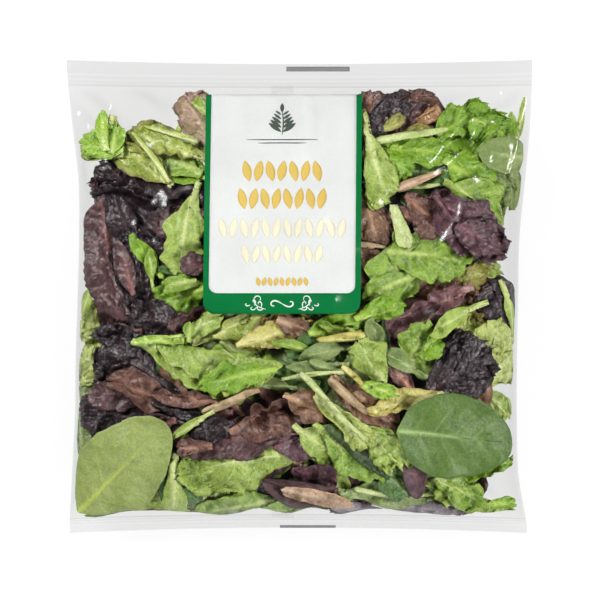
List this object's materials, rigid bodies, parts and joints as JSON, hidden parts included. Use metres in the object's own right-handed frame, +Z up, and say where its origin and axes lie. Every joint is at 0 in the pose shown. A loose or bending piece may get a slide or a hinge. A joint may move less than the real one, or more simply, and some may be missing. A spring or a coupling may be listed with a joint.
{
  "type": "bag of salad leaves",
  "caption": "Clear sealed pillow bag of mixed baby salad leaves, with crimped top and bottom seals and a printed front panel, lying on its back.",
  "frame": {"origin": "on the table, under the middle of the bag's outline", "axes": "+Z up out of the front panel, +Y towards the top seal, +X to the right of someone who reads the front"},
  "size_m": [0.25, 0.2544, 0.058],
  "materials": {
    "bag": "clear glossy film over mixed green and red-brown leaves",
    "film": "thin clear polypropylene film, glossy, slightly milky at the crimped seals",
    "print": "opaque white ink panel with a green frame and gold shapes, under the film's gloss",
    "green_leaf": "moist green salad leaf, satin, with paler veins",
    "red_leaf": "moist dark red-brown salad leaf, satin, with pinkish ribs"
  },
  "bodies": {
    "root": {"bag": "bag"}
  },
  "joints": []
}
